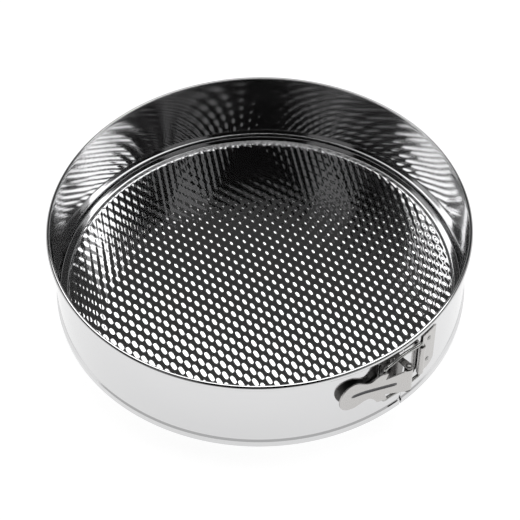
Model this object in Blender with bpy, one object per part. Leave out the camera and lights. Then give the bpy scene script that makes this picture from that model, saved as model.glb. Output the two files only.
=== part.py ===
"""Springform cake pan: a split tinplate band that an over-centre lever latch draws tight round a loose base.

Units are metres and +Z is up. The origin is on the pan's axis, on the surface that the pan stands on.
The latch frame has the same origin, turned so that its X axis runs out through the latch and its Y axis runs
along the band to the right, as seen from outside.
"""

import math

import bmesh
import bpy
from mathutils import Matrix, Vector

# Band
WALL_RADIUS = 0.1400        # inner face of the wall
PAN_HEIGHT = 0.0630
BAND_SHEET = 0.0005
RIM_WIDTH = 0.0022          # rolled rim, from the wall's inner face outwards
GROOVE_DEPTH = 0.0012       # how far the wall steps out to hold the base
GROOVE_TOP = 0.0067
GROOVE_STEP = 0.0017        # height of that step
LEDGE_WIDTH = 0.0040        # inward turned bottom edge that carries the base
LEDGE_BEND = 0.0005
BAND_SEGMENTS = 96
CURL_STEPS = 6
BEND_STEPS = 3

# Seam of the band, measured along the wall's outer face from the latch's azimuth
LATCH_AZIMUTH = math.radians(-52.0)
SEAM_LEFT = 0.0023
SEAM_GAP = 0.0014
TONGUE_LENGTH = 0.0150      # right end, tucked behind the left end
TONGUE_ABOVE_GROOVE = 0.0010
TONGUE_BELOW_RIM = 0.0060
TONGUE_CHAMFER = 0.0040
TONGUE_STEPS = 4
RELIEF_LENGTH = 0.0105      # slit that frees the left end of the wall from the groove
RELIEF_HEIGHT = 0.0008
RELIEF_LEVEL = 0.65         # share of the groove's step that is above the slit

# Base
BASE_SHEET = 0.0005
FLANGE_TOP = 0.0063
FLANGE_WIDTH = 0.0064       # from the base's edge in to the panel's step
PANEL_DROP = 0.0025
PANEL_STEP_RUN = 0.0012
SKIRT_BEND = 0.0027
SKIRT_GRIP = 0.0005         # how far the base's edge reaches out under the wall
BASE_SEGMENTS = 96
PANEL_STEP_COUNT = 4
SKIRT_STEPS = 5

# Latch
LATCH_HEIGHT = 0.0380       # middle of the lever and its bracket above the table
LATCH_SHEET = 0.0010
PIN_STANDOFF = 0.0082       # pivot axis, out from the wall's outer face
PIN_OFFSET = 0.0003         # pivot axis, along the band
PIN_RADIUS = 0.0015
PIN_HEAD_RADIUS = 0.0021
PIN_HEAD = 0.0008
LEVER_SLOPE = math.radians(21.0)
LEVER_END_HALF = 0.0101     # half height of the lever's rolled end
LEVER_NECK_HALF = 0.0074
LEVER_SHOULDER_HALF = 0.0129
LEVER_SHOULDER_SLANT = 0.0014
LEVER_SPUR_HALF = 0.0138    # corner of the lower shoulder
LEVER_WAIST_HALF = 0.0078
LEVER_PADDLE_HALF = 0.0118
NECK_START = 0.0030         # the next six are measured from the pivot along the lever
SHOULDER_AT = 0.0160
SHOULDER_END = 0.0186
SPUR_AT = 0.0212
WAIST_AT = 0.0268
PADDLE_AT = 0.0376
LEVER_LENGTH = 0.0485
PADDLE_BEND = math.radians(21.0)
LEVER_CURL = math.radians(285.0)
BEAD_START = 0.0070
BEAD_END = 0.0405
BEAD_HALF = 0.0021
BEAD_DEPTH = 0.0006
HOOK_AT = 0.0114            # wire hooks behind the lever's neck
HOOK_SHEET = 0.0008
HOOK_TIP = 0.0002           # how far the hooks stop short of the pivot's level
HOOK_INNER = 0.0048
HOOK_OUTER = 0.0072
BRACKET_LEFT = 0.0116       # bracket plate's left edge, along the band from the latch's azimuth
EAR_SHEET = 0.0010
EAR_RADIUS = 0.0027
EAR_FOOT = 0.0042
BRACKET_CORNER = 0.0025

# Wire bail and keeper
KEEPER_DROP = 0.0019        # middle of the bail and the keeper below the lever's middle
WIRE_RADIUS = 0.0012
BAIL_HALF = 0.0165
BAIL_BOW = 0.0015
BAIL_CORNER = 0.0026
BAIL_REACH = 0.0143         # bail's lever side, along the band from the latch's azimuth
BAIL_STANDOFF = 0.0030
KEEPER_SHEET = 0.0008
KEEPER_OFFSET = 0.0175      # keeper's knuckle, along the band from the latch's azimuth
KEEPER_LENGTH = 0.0165
KEEPER_HALF = 0.0185
KEEPER_CORNER = 0.0070
KEEPER_NECK = 0.0026        # strip between the plate and the knuckle
KNUCKLE_HALF = 0.0132
KNUCKLE_CURL = math.radians(290.0)
RIVET_SPACING = 0.0212
RIVET_RISE = 0.0009         # middle of the two rivets above the keeper's middle
RIVET_FROM_KNUCKLE = 0.0092
RIVET_SHANK = 0.0010
RIVET_HEAD_RADIUS = 0.0018
RIVET_HEAD = 0.0005
RIVET_RECESS = 0.0009       # radius of the hollow in a rivet's head
RIVET_RECESS_DEPTH = 0.0006

# Clearances
SEAT_GAP = 0.0003           # between pieces that touch
EAR_GAP = 0.0009            # between the lever's end and each ear
MESH_STEP = 0.0030          # longest facet along a bent sheet
ROUND_SEGMENTS = 20

WALL_OUTER = WALL_RADIUS + BAND_SHEET
WALL_MID = WALL_RADIUS + BAND_SHEET / 2
SEAM_RIGHT = SEAM_LEFT + SEAM_GAP
TONGUE_TOP = PAN_HEIGHT - TONGUE_BELOW_RIM
TONGUE_BOTTOM = GROOVE_TOP + TONGUE_ABOVE_GROOVE
SKIRT_RADIUS = WALL_RADIUS + SKIRT_GRIP
CURL_RADIUS = PIN_RADIUS + SEAT_GAP + LATCH_SHEET / 2
KNUCKLE_RADIUS = WIRE_RADIUS + SEAT_GAP + KEEPER_SHEET / 2
KEEPER_RADIUS = WALL_OUTER + SEAT_GAP + KEEPER_SHEET / 2
KEEPER_HEIGHT = LATCH_HEIGHT - KEEPER_DROP
EAR_INNER = LEVER_END_HALF + EAR_GAP


def smooth(x):
    """Eased step from 0 to 1."""
    x = min(max(x, 0.0), 1.0)
    return x * x * (3 - 2 * x)


def polar(radius, along, height=0.0):
    """A point of the latch frame, from its radius and its distance along the wall's outer face."""
    angle = along / WALL_OUTER
    return Vector((radius * math.cos(angle), radius * math.sin(angle), height))


def steel(name, colour, roughness):
    material = bpy.data.materials.new(name)
    material.use_nodes = True
    shader = material.node_tree.nodes["Principled BSDF"]
    shader.inputs["Base Color"].default_value = (*colour, 1.0)
    shader.inputs["Metallic"].default_value = 1.0
    shader.inputs["Roughness"].default_value = roughness
    return material


def place(obj, parent=None, location=(0, 0, 0), turn=0.0):
    obj.parent = parent
    obj.location = location
    obj.rotation_euler = (0, 0, turn)
    bpy.context.scene.collection.objects.link(obj)
    return obj


def solid(name, bm, material, **where):
    """A named object from a closed bmesh, shaded smooth over its round faces."""
    bmesh.ops.recalc_face_normals(bm, faces=bm.faces)
    mesh = bpy.data.meshes.new(name)
    bm.to_mesh(mesh)
    bm.free()
    mesh.materials.append(material)
    mesh.shade_smooth()
    mesh.set_sharp_from_angle(angle=math.radians(35))
    return place(bpy.data.objects.new(name, mesh), **where)


def helper(name, bm, **where):
    """A cutter or a joining shape, which isn't a piece of its own."""
    obj = solid(name, bm, bpy.data.materials["tinplate"], **where)
    obj.hide_render = True
    obj.display_type = "WIRE"
    return obj


def combine(obj, other, operation):
    modifier = obj.modifiers.new(other.name, "BOOLEAN")
    modifier.operation = operation
    modifier.solver = "EXACT"
    modifier.object = other


def offset_strip(points, thickness):
    """The two faces of a sheet that follows a line of points, as (left, right)."""
    left, right = [], []
    for k, point in enumerate(points):
        before = (point - points[k - 1]).normalized() if k else None
        after = (points[k + 1] - point).normalized() if k + 1 < len(points) else None
        before = before or after
        after = after or before
        normal = Vector((-before.y - after.y, before.x + after.x)).normalized()
        reach = thickness / 2 / normal.dot(Vector((-before.y, before.x)))
        left.append(point + normal * reach)
        right.append(point - normal * reach)
    return left, right


def arc(centre, radius, start, end, steps):
    """Points round a circle, from one angle to another."""
    angles = [start + (end - start) * k / steps for k in range(steps + 1)]
    return [centre + radius * Vector((math.cos(a), math.sin(a))) for a in angles]


def turned(profile, segments):
    """A solid of revolution about Z. The profile is (radius, height) points, which may start and end on the axis."""
    bm = bmesh.new()
    rings = []
    for radius, height in profile:
        if radius < 1e-9:
            rings.append([bm.verts.new((0, 0, height))] * segments)
            continue
        turns = [2 * math.pi * k / segments for k in range(segments)]
        rings.append([bm.verts.new((radius * math.cos(a), radius * math.sin(a), height)) for a in turns])
    for upper, lower in zip(rings, rings[1:]):
        for k in range(segments):
            corners = (upper[k - 1], upper[k], lower[k], lower[k - 1])
            bm.faces.new(dict.fromkeys(corners))
    return bm


def prism(outline, bottom, top):
    """An upright solid over a flat outline."""
    bm = bmesh.new()
    face = bm.faces.new([bm.verts.new((p[0], p[1], bottom)) for p in outline])
    raised = bmesh.ops.extrude_face_region(bm, geom=[face])
    moved = [item for item in raised["geom"] if isinstance(item, bmesh.types.BMVert)]
    bmesh.ops.translate(bm, verts=moved, vec=(0, 0, top - bottom))
    return bm


def stops(start, end, step):
    """Even divisions of a length, without its two ends."""
    count = max(1, math.ceil((end - start) / step))
    return [start + (end - start) * k / count for k in range(1, count)]


def pressed_sheet(outline, cuts_along, cuts_across, thickness, surface):
    """A sheet cut to a flat outline of (along, across) points and bent to surface(along, across).

    surface gives a point of the sheet's middle and the direction of its outer face.
    """
    flat = bmesh.new()
    flat.faces.new([flat.verts.new((a, w, 0)) for a, w in outline])
    planes = [((a, 0, 0), (1, 0, 0)) for a in cuts_along] + [((0, w, 0), (0, 1, 0)) for w in cuts_across]
    for point, normal in planes:
        geometry = flat.verts[:] + flat.edges[:] + flat.faces[:]
        bmesh.ops.bisect_plane(flat, geom=geometry, dist=1e-7, plane_co=point, plane_no=normal)
    bmesh.ops.triangulate(flat, faces=flat.faces[:])
    bm = bmesh.new()
    outer, inner = {}, {}
    for vert in flat.verts:
        middle, normal = surface(vert.co.x, vert.co.y)
        outer[vert] = bm.verts.new(middle + normal * thickness / 2)
        inner[vert] = bm.verts.new(middle - normal * thickness / 2)
    for face in flat.faces:
        bm.faces.new([outer[v] for v in face.verts])
        bm.faces.new([inner[v] for v in reversed(face.verts)])
    for edge in flat.edges:
        if edge.is_boundary:
            a, b = edge.verts
            bm.faces.new((outer[a], outer[b], inner[b], inner[a]))
    flat.free()
    return bm


def rounded_corner(corner, before, after, radius, steps=4):
    """A fillet at an outline's corner, for edges that meet at a right angle there."""
    to_before = (Vector(before) - Vector(corner)).normalized() * radius
    to_after = (Vector(after) - Vector(corner)).normalized() * radius
    centre = Vector(corner) + to_before + to_after
    turns = [math.pi / 2 * k / steps for k in range(steps + 1)]
    return [centre - to_after * math.cos(a) - to_before * math.sin(a) for a in turns]


def band_midline():
    """The band's section, as the middle of its sheet: rolled rim, wall, groove and ledge."""
    curl = (RIM_WIDTH - BAND_SHEET) / 2
    rim_centre = Vector((WALL_MID + curl, PAN_HEIGHT - BAND_SHEET / 2 - curl))
    groove = WALL_MID + GROOVE_DEPTH
    bend_centre = Vector((groove - LEDGE_BEND, BAND_SHEET / 2 + LEDGE_BEND))
    points = arc(rim_centre, curl, math.radians(-90), math.radians(180), CURL_STEPS)
    points += [Vector((WALL_MID, height)) for height in (TONGUE_TOP, TONGUE_BOTTOM, GROOVE_TOP)]
    points.append(Vector((groove, GROOVE_TOP - GROOVE_STEP)))
    points += arc(bend_centre, LEDGE_BEND, 0, math.radians(-90), BEND_STEPS)
    points.append(Vector((groove - LEDGE_WIDTH, BAND_SHEET / 2)))
    return points


def band_angles():
    """Angles of the band's sections in the latch frame, from the seam's right side round to its left side."""
    start = SEAM_RIGHT / WALL_OUTER
    end = 2 * math.pi + SEAM_LEFT / WALL_OUTER
    step = 2 * math.pi / BAND_SEGMENTS
    first = math.ceil((start + LATCH_AZIMUTH) / step + 0.25)
    turns = [k * step - LATCH_AZIMUTH for k in range(first, first + BAND_SEGMENTS)]
    return [start] + [a for a in turns if a < end - step / 4] + [end]


def tongue_stations():
    """(along, inward shift, chamfer) of the tongue's sections, from the seam to its free end."""
    shift = BAND_SHEET + SEAT_GAP
    yield SEAM_LEFT + SEAT_GAP, shift, 0.0
    chamfer_start = TONGUE_CHAMFER - TONGUE_LENGTH
    for k in range(1, TONGUE_STEPS + 1):
        yield SEAM_LEFT + (chamfer_start - SEAM_LEFT) * k / TONGUE_STEPS, shift, 0.0
    yield -TONGUE_LENGTH, shift, TONGUE_CHAMFER


def band(material, latch):
    midline = band_midline()
    outside, inside = offset_strip(midline, BAND_SHEET)
    tongue_row = CURL_STEPS + 1
    bm = bmesh.new()

    def section(angle):
        turn = Matrix.Rotation(angle, 3, "Z")
        return [[bm.verts.new(turn @ Vector((p.x, 0, p.y))) for p in side] for side in (outside, inside)]

    def join(first, second):
        loop_a = first[0] + first[1][::-1]
        loop_b = second[0] + second[1][::-1]
        for k in range(len(loop_a)):
            bm.faces.new((loop_a[k - 1], loop_a[k], loop_b[k], loop_b[k - 1]))

    sections = [section(angle) for angle in band_angles()]
    for first, second in zip(sections, sections[1:]):
        join(first, second)
    for end in (sections[0], sections[-1]):
        for row in range(len(midline) - 1):
            if end is sections[-1] or row != tongue_row:
                bm.faces.new((end[0][row], end[0][row + 1], end[1][row + 1], end[1][row]))

    # The tongue carries on from the wall at the seam's right side.
    start = sections[0]
    last = [[side[tongue_row], side[tongue_row + 1]] for side in start]
    for along, shift, chamfer in tongue_stations():
        heights = (TONGUE_TOP - chamfer, TONGUE_BOTTOM + chamfer)
        radii = (WALL_OUTER - shift, WALL_RADIUS - shift)
        station = [[bm.verts.new(polar(r, along, h)) for h in heights] for r in radii]
        join(last, station)
        last = station
    bm.faces.new((last[0][0], last[0][1], last[1][1], last[1][0]))
    obj = solid("band", bm, material, parent=latch)

    # The relief slit runs from the seam along the groove's step.
    slit_middle = GROOVE_TOP - GROOVE_STEP * RELIEF_LEVEL
    reach = 4 * (GROOVE_DEPTH + BAND_SHEET)
    corners = [(WALL_MID - reach, SEAM_LEFT - RELIEF_LENGTH), (WALL_MID + reach, SEAM_LEFT - RELIEF_LENGTH)]
    corners += [(WALL_MID + reach, SEAM_LEFT + SEAM_GAP / 2), (WALL_MID - reach, SEAM_LEFT + SEAM_GAP / 2)]
    slit = prism(corners, slit_middle - RELIEF_HEIGHT / 2, slit_middle + RELIEF_HEIGHT / 2)
    combine(obj, helper("relief_slit", slit, parent=latch), "DIFFERENCE")
    return obj


def base_plate(material, frame):
    middle = FLANGE_TOP - BASE_SHEET / 2
    panel = middle - PANEL_DROP
    skirt = SKIRT_RADIUS - BASE_SHEET / 2
    flange_inner = SKIRT_RADIUS - FLANGE_WIDTH
    points = [Vector((0, panel))]
    for k in range(PANEL_STEP_COUNT + 1):
        share = k / PANEL_STEP_COUNT
        radius = flange_inner - PANEL_STEP_RUN * (1 - share)
        points.append(Vector((radius, panel + PANEL_DROP * smooth(share))))
    bend_centre = Vector((skirt - SKIRT_BEND, middle - SKIRT_BEND))
    points += arc(bend_centre, SKIRT_BEND, math.radians(90), 0, SKIRT_STEPS)
    points.append(Vector((skirt, BAND_SHEET + SEAT_GAP)))
    top, under = offset_strip(points, BASE_SHEET)
    return solid("base_plate", turned(top + under[::-1], BASE_SEGMENTS), material, parent=frame)


def lever_outline():
    """The lever cut flat: (along from the pivot, across), with the strip that is rolled round the pin first."""
    rolled = -CURL_RADIUS * LEVER_CURL
    root = [(rolled, LEVER_END_HALF), (NECK_START, LEVER_END_HALF), (SHOULDER_AT, LEVER_NECK_HALF)]
    root.append((SHOULDER_AT - LEVER_SHOULDER_SLANT, LEVER_SHOULDER_HALF))
    upper = []
    for along in [SHOULDER_END] + stops(SHOULDER_END, WAIST_AT, MESH_STEP / 2):
        share = smooth((along - SHOULDER_END) / (WAIST_AT - SHOULDER_END))
        upper.append((along, LEVER_SHOULDER_HALF + (LEVER_WAIST_HALF - LEVER_SHOULDER_HALF) * share))
    lower = []
    for along in [SPUR_AT] + stops(SPUR_AT, WAIST_AT, MESH_STEP / 2):
        share = (WAIST_AT - along) / (WAIST_AT - SPUR_AT)
        lower.append((along, LEVER_WAIST_HALF + (LEVER_SPUR_HALF - LEVER_WAIST_HALF) * share ** 2))
    paddle = [(WAIST_AT, LEVER_WAIST_HALF)]
    for along in stops(WAIST_AT, PADDLE_AT, MESH_STEP / 2) + [PADDLE_AT]:
        share = smooth((along - WAIST_AT) / (PADDLE_AT - WAIST_AT))
        paddle.append((along, LEVER_WAIST_HALF + (LEVER_PADDLE_HALF - LEVER_WAIST_HALF) * share))
    for k in range(1, 8):
        angle = math.pi / 2 * k / 8
        reach = LEVER_LENGTH - PADDLE_AT
        paddle.append((PADDLE_AT + reach * math.sin(angle), LEVER_PADDLE_HALF * math.cos(angle)))
    below = [(a, -w) for a, w in reversed(root + lower + paddle)]
    return root + upper + paddle + [(LEVER_LENGTH, 0.0)] + below


def lever_surface(along, across):
    """The lever's sheet about its pivot: X is out of its face, -Y runs along it to the paddle."""
    if along < 0:
        turn = -along / CURL_RADIUS
        normal = Vector((math.cos(turn), math.sin(turn), 0))
        return normal * CURL_RADIUS + Vector((0, 0, across)), normal
    bend_radius = (LEVER_LENGTH - WAIST_AT) / PADDLE_BEND
    turn = max(0.0, along - WAIST_AT) / bend_radius
    straight = min(along, WAIST_AT)
    middle = Vector((CURL_RADIUS + bend_radius * (1 - math.cos(turn)), -straight - bend_radius * math.sin(turn), across))
    normal = Vector((math.cos(turn), math.sin(turn), 0))
    ramp = 2 * BEAD_HALF
    lengthwise = smooth((along - BEAD_START) / ramp) * smooth((BEAD_END - along) / ramp)
    bead = BEAD_DEPTH * lengthwise * smooth(1 - abs(across) / BEAD_HALF)
    return middle - normal * bead, normal


def lever(material, latch):
    rolled = -CURL_RADIUS * LEVER_CURL
    cuts_along = stops(rolled, 0, MESH_STEP / 3) + [0] + stops(0, LEVER_LENGTH, MESH_STEP / 1.5)
    cuts_across = [BEAD_HALF * k / 2 for k in range(-2, 3)]
    bm = pressed_sheet(lever_outline(), cuts_along, cuts_across, LATCH_SHEET, lever_surface)
    where = (WALL_OUTER + PIN_STANDOFF, PIN_OFFSET, LATCH_HEIGHT)
    obj = solid("lever", bm, material, parent=latch, location=where, turn=-LEVER_SLOPE)
    root = CURL_RADIUS
    for side, name in ((1, "upper_hook"), (-1, "lower_hook")):
        outline = [(HOOK_TIP, -HOOK_AT), (HOOK_TIP, -HOOK_AT - HOOK_SHEET)]
        outline += [(root, -HOOK_AT - HOOK_SHEET), (root, -HOOK_AT)]
        bottom, top = sorted((side * HOOK_INNER, side * HOOK_OUTER))
        hook = helper(name, prism(outline, bottom, top), parent=latch, location=where, turn=-LEVER_SLOPE)
        combine(obj, hook, "UNION")
    return obj


def lever_bracket(material, latch):
    radius = WALL_OUTER + SEAT_GAP + LATCH_SHEET / 2
    half = EAR_INNER + EAR_SHEET / 2
    left, right = -BRACKET_LEFT, SEAM_LEFT - SEAT_GAP
    outline = [(right, -half), (right, half)]
    outline += rounded_corner((left, half), (right, half), (left, -half), BRACKET_CORNER)
    outline += rounded_corner((left, -half), (left, half), (right, -half), BRACKET_CORNER)

    def surface(along, across):
        point = polar(radius, along, LATCH_HEIGHT + across)
        return point, Vector((point.x, point.y, 0)).normalized()

    plate = pressed_sheet(outline, stops(left, right, MESH_STEP), [], LATCH_SHEET, surface)
    obj = solid("lever_bracket", plate, material, parent=latch)
    pin = Vector((WALL_OUTER + PIN_STANDOFF, PIN_OFFSET))
    foot = WALL_OUTER + SEAT_GAP + LATCH_SHEET / 2
    ear = [Vector((foot, right - EAR_FOOT)), Vector((foot, right))]
    ear += arc(pin, EAR_RADIUS, math.radians(120), math.radians(-90), 10)
    for side, name in ((1, "upper_ear"), (-1, "lower_ear")):
        bottom, top = sorted((side * EAR_INNER, side * (EAR_INNER + EAR_SHEET)))
        arm = helper(name, prism(ear, LATCH_HEIGHT + bottom, LATCH_HEIGHT + top), parent=latch)
        combine(obj, arm, "UNION")
    hole_radius = PIN_RADIUS + SEAT_GAP
    reach = EAR_INNER + 2 * EAR_SHEET
    hole = turned([(0, reach), (hole_radius, reach), (hole_radius, -reach), (0, -reach)], ROUND_SEGMENTS)
    combine(obj, helper("pin_hole", hole, parent=latch, location=(*pin, LATCH_HEIGHT)), "DIFFERENCE")
    return obj


def pivot_pin(material, latch):
    head_base = EAR_INNER + EAR_SHEET + SEAT_GAP
    head_top = head_base + PIN_HEAD
    rim = head_base + PIN_HEAD / 2
    upper = [(0, head_top), (PIN_HEAD_RADIUS * 0.6, head_top), (PIN_HEAD_RADIUS, rim)]
    upper += [(PIN_HEAD_RADIUS, head_base), (PIN_RADIUS, head_base)]
    lower = [(r, -h) for r, h in reversed(upper)]
    where = (WALL_OUTER + PIN_STANDOFF, PIN_OFFSET, LATCH_HEIGHT)
    return solid("pivot_pin", turned(upper + lower, ROUND_SEGMENTS), material, parent=latch, location=where)


def knuckle_axis():
    return polar(KEEPER_RADIUS + KNUCKLE_RADIUS, KEEPER_OFFSET, KEEPER_HEIGHT)


def keeper_surface(along, across):
    """The keeper's sheet: a plate on the band to the right of its knuckle, which is rolled round the bail."""
    out = polar(1.0, KEEPER_OFFSET)
    right = Vector((-out.y, out.x, 0))
    height = Vector((0, 0, across))
    if along < 0:
        turn = -along / KNUCKLE_RADIUS
        normal = out * math.cos(turn) + right * math.sin(turn)
        return knuckle_axis() + height - normal * KNUCKLE_RADIUS, normal
    angle = KEEPER_OFFSET / WALL_OUTER + along / KEEPER_RADIUS
    normal = Vector((math.cos(angle), math.sin(angle), 0))
    return normal * KEEPER_RADIUS + Vector((0, 0, KEEPER_HEIGHT)) + height, normal


def keeper_plate(material, latch):
    rolled = -KNUCKLE_RADIUS * KNUCKLE_CURL
    upper = [(rolled, KNUCKLE_HALF), (KEEPER_NECK, KNUCKLE_HALF), (KEEPER_NECK, KEEPER_HALF)]
    upper = upper[::-1]
    corner_top = (KEEPER_LENGTH, KEEPER_HALF)
    corner_low = (KEEPER_LENGTH, -KEEPER_HALF)
    outline = rounded_corner(corner_low, (KEEPER_NECK, -KEEPER_HALF), corner_top, KEEPER_CORNER)
    outline += [Vector(corner_top)]
    outline += [Vector(p) for p in upper] + [Vector((a, -w)) for a, w in reversed(upper)]
    cuts = stops(rolled, 0, MESH_STEP / 3) + [0] + stops(0, KEEPER_LENGTH, MESH_STEP)
    sheet = pressed_sheet(outline, cuts, [], KEEPER_SHEET, keeper_surface)
    return solid("keeper_plate", sheet, material, parent=latch)


def bail_wire(material, latch):
    axis = knuckle_axis()
    hook = polar(WALL_OUTER + BAIL_STANDOFF, -BAIL_REACH, KEEPER_HEIGHT)
    length = (hook - axis).length
    turn = math.atan2(axis.y - hook.y, axis.x - hook.x) - math.pi / 2
    side = BAIL_HALF - BAIL_CORNER
    right = arc(Vector((-BAIL_CORNER, side)), BAIL_CORNER, 0, math.pi / 2, 4)
    left = arc(Vector((BAIL_CORNER - length, side)), BAIL_CORNER, math.pi / 2, math.pi, 4)
    leg = []
    for along in stops(BAIL_CORNER, length - BAIL_CORNER, MESH_STEP):
        share = (along - BAIL_CORNER) / (length - 2 * BAIL_CORNER)
        leg.append(Vector((-along, BAIL_HALF + BAIL_BOW * math.sin(math.pi * share) ** 2)))
    upper = right + leg + left
    path = upper + [Vector((p.x, -p.y)) for p in reversed(upper)]
    curve = bpy.data.curves.new("bail_wire", "CURVE")
    curve.dimensions = "3D"
    curve.bevel_depth = WIRE_RADIUS
    curve.bevel_resolution = 2
    spline = curve.splines.new("POLY")
    spline.points.add(len(path) - 1)
    for point, place_on_path in zip(spline.points, path):
        point.co = (0, place_on_path.x, place_on_path.y, 1)
    spline.use_cyclic_u = True
    spline.use_smooth = True
    curve.materials.append(material)
    return place(bpy.data.objects.new("bail_wire", curve), parent=latch, location=axis, turn=turn)


def keeper_rivets(material, latch, keeper):
    """Two rivets that hold the keeper on the band, each through a hole in the keeper."""
    along = KEEPER_OFFSET + RIVET_FROM_KNUCKLE
    foot = SEAT_GAP
    seat = SEAT_GAP + KEEPER_SHEET + SEAT_GAP
    top = seat + RIVET_HEAD
    profile = [(0, top - RIVET_RECESS_DEPTH), (RIVET_RECESS, top), (RIVET_HEAD_RADIUS * 0.75, top)]
    profile.append((RIVET_HEAD_RADIUS, seat))
    profile += [(RIVET_SHANK, seat), (RIVET_SHANK, foot), (0, foot)]
    hole_radius = RIVET_SHANK + SEAT_GAP
    reach = 4 * KEEPER_SHEET
    hole = [(0, reach), (hole_radius, reach), (hole_radius, -reach), (0, -reach)]
    for side, name in ((1, "upper"), (-1, "lower")):
        on_band = polar(WALL_OUTER, along, KEEPER_HEIGHT + RIVET_RISE + side * RIVET_SPACING / 2)
        facing = Matrix.Rotation(along / WALL_OUTER, 4, "Z") @ Matrix.Rotation(math.pi / 2, 4, "Y")
        rivet = turned(profile, ROUND_SEGMENTS)
        rivet.transform(Matrix.Translation(on_band) @ facing)
        solid("keeper_rivet_" + name, rivet, material, parent=latch)
        cutter = turned(hole, ROUND_SEGMENTS)
        cutter.transform(Matrix.Translation(on_band) @ facing)
        combine(keeper, helper("rivet_hole_" + name, cutter, parent=latch), "DIFFERENCE")


def main():
    for obj in list(bpy.data.objects):
        bpy.data.objects.remove(obj)
    tinplate = steel("tinplate", (0.82, 0.82, 0.82), 0.08)
    latch_steel = steel("latch_steel", (0.62, 0.61, 0.60), 0.32)
    wire_steel = steel("wire_steel", (0.55, 0.55, 0.54), 0.30)
    frame = place(bpy.data.objects.new("pan_frame", None))
    latch = place(bpy.data.objects.new("latch_frame", None), parent=frame, turn=LATCH_AZIMUTH)
    band(tinplate, latch)
    base_plate(tinplate, frame)
    lever_bracket(latch_steel, latch)
    pivot_pin(wire_steel, latch)
    lever(latch_steel, latch)
    keeper = keeper_plate(latch_steel, latch)
    bail_wire(wire_steel, latch)
    keeper_rivets(wire_steel, latch, keeper)


main()
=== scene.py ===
import math

import bmesh
import bpy
import numpy as np
from mathutils import Matrix, Vector


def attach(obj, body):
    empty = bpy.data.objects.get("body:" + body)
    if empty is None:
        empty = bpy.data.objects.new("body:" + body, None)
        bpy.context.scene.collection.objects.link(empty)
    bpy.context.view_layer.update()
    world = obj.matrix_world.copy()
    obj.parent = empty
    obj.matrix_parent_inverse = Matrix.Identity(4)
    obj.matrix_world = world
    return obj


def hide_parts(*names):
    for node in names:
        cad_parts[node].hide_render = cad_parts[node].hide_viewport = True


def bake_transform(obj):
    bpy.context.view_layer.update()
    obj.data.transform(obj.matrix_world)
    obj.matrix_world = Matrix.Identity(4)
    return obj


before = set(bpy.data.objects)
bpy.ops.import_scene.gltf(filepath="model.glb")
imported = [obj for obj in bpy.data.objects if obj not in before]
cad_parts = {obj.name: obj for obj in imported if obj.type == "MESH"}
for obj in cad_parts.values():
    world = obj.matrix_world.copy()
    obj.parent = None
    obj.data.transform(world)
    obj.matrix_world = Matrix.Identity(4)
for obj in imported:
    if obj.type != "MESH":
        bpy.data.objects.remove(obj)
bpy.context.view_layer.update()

# Sizes in metres: the solids' own, but for finer values of the rim, the groove, its slit and the bead
WALL_RADIUS = 0.1400
PAN_HEIGHT = 0.0630
BAND_SHEET = 0.0005
RIM_WIDTH = 0.0027
RIM_FOLD = 0.0005
RIM_GAP = 0.0001
GROOVE_DEPTH = 0.0012
GROOVE_TOP = 0.0069
GROOVE_STEP = 0.0021
GROOVE_EASE = 0.15
LEDGE_WIDTH = 0.0040
LEDGE_BEND = 0.0005
LATCH_AZIMUTH = math.radians(-52.0)
SEAM_LEFT = 0.0023
SEAM_GAP = 0.0014
TONGUE_ROOT = 0.0002
TONGUE_LENGTH = 0.0150
TONGUE_BOTTOM = 0.0077
TONGUE_TOP = 0.0570
TONGUE_CHAMFER = 0.0040
RELIEF_LENGTH = 0.0105
RELIEF_HEIGHT = 0.0008
RELIEF_LEVEL = 0.62
BASE_SHEET = 0.0005
FLANGE_TOP = 0.0063
FLANGE_WIDTH = 0.0064
PANEL_DROP = 0.0025
PANEL_STEP_RUN = 0.0012
SKIRT_BEND = 0.0027
SKIRT_GRIP = 0.0005
LATCH_HEIGHT = 0.0380
LATCH_SHEET = 0.0010
PIN_STANDOFF = 0.0082
PIN_OFFSET = 0.0003
PIN_RADIUS = 0.0015
PIN_HEAD_RADIUS = 0.0021
PIN_HEAD = 0.0008
PIN_HEAD_GAP = 0.00005
LEVER_SLOPE = math.radians(21.0)
LEVER_END_HALF = 0.0101
LEVER_NECK_HALF = 0.0074
LEVER_SHOULDER_HALF = 0.0129
LEVER_SHOULDER_SLANT = 0.0014
LEVER_SPUR_HALF = 0.0138
LEVER_WAIST_HALF = 0.0078
LEVER_PADDLE_HALF = 0.0118
NECK_START = 0.0030
SHOULDER_AT = 0.0160
SHOULDER_END = 0.0186
SPUR_AT = 0.0212
WAIST_AT = 0.0268
PADDLE_AT = 0.0376
LEVER_LENGTH = 0.0485
PADDLE_BEND = math.radians(21.0)
LEVER_CURL = math.radians(285.0)
BEAD_START = 0.0070
BEAD_END = 0.0405
BEAD_HALF = 0.0021
BEAD_DEPTH = 0.0010
# Painted shade in the lever's bead: how far across it reaches, as a share of the bead's half width, and
# the share of the bead's depth where it starts
BEAD_SHADE_REACH = 0.75
BEAD_SHADE_FROM = 0.2
HOOK_AT = 0.0114
HOOK_SHEET = 0.0008
HOOK_TIP = 0.0002
HOOK_INNER = 0.0048
HOOK_OUTER = 0.0072
BRACKET_LEFT = 0.0116
EAR_SHEET = 0.0010
EAR_RADIUS = 0.0027
EAR_FOOT = 0.0042
EAR_ARC_START = math.radians(120.0)
EAR_ARC_END = math.radians(-90.0)
BRACKET_CORNER = 0.0025
KEEPER_HEIGHT = 0.0361
WIRE_RADIUS = 0.0012
BAIL_HALF = 0.0165
BAIL_BOW = 0.0015
BAIL_CORNER = 0.0026
BAIL_REACH = 0.0143
BAIL_STANDOFF = 0.0030
KEEPER_SHEET = 0.0008
KEEPER_OFFSET = 0.0175
KEEPER_LENGTH = 0.0165
KEEPER_HALF = 0.0185
KEEPER_CORNER = 0.0070
KEEPER_NECK = 0.0026
KNUCKLE_HALF = 0.0132
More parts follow.
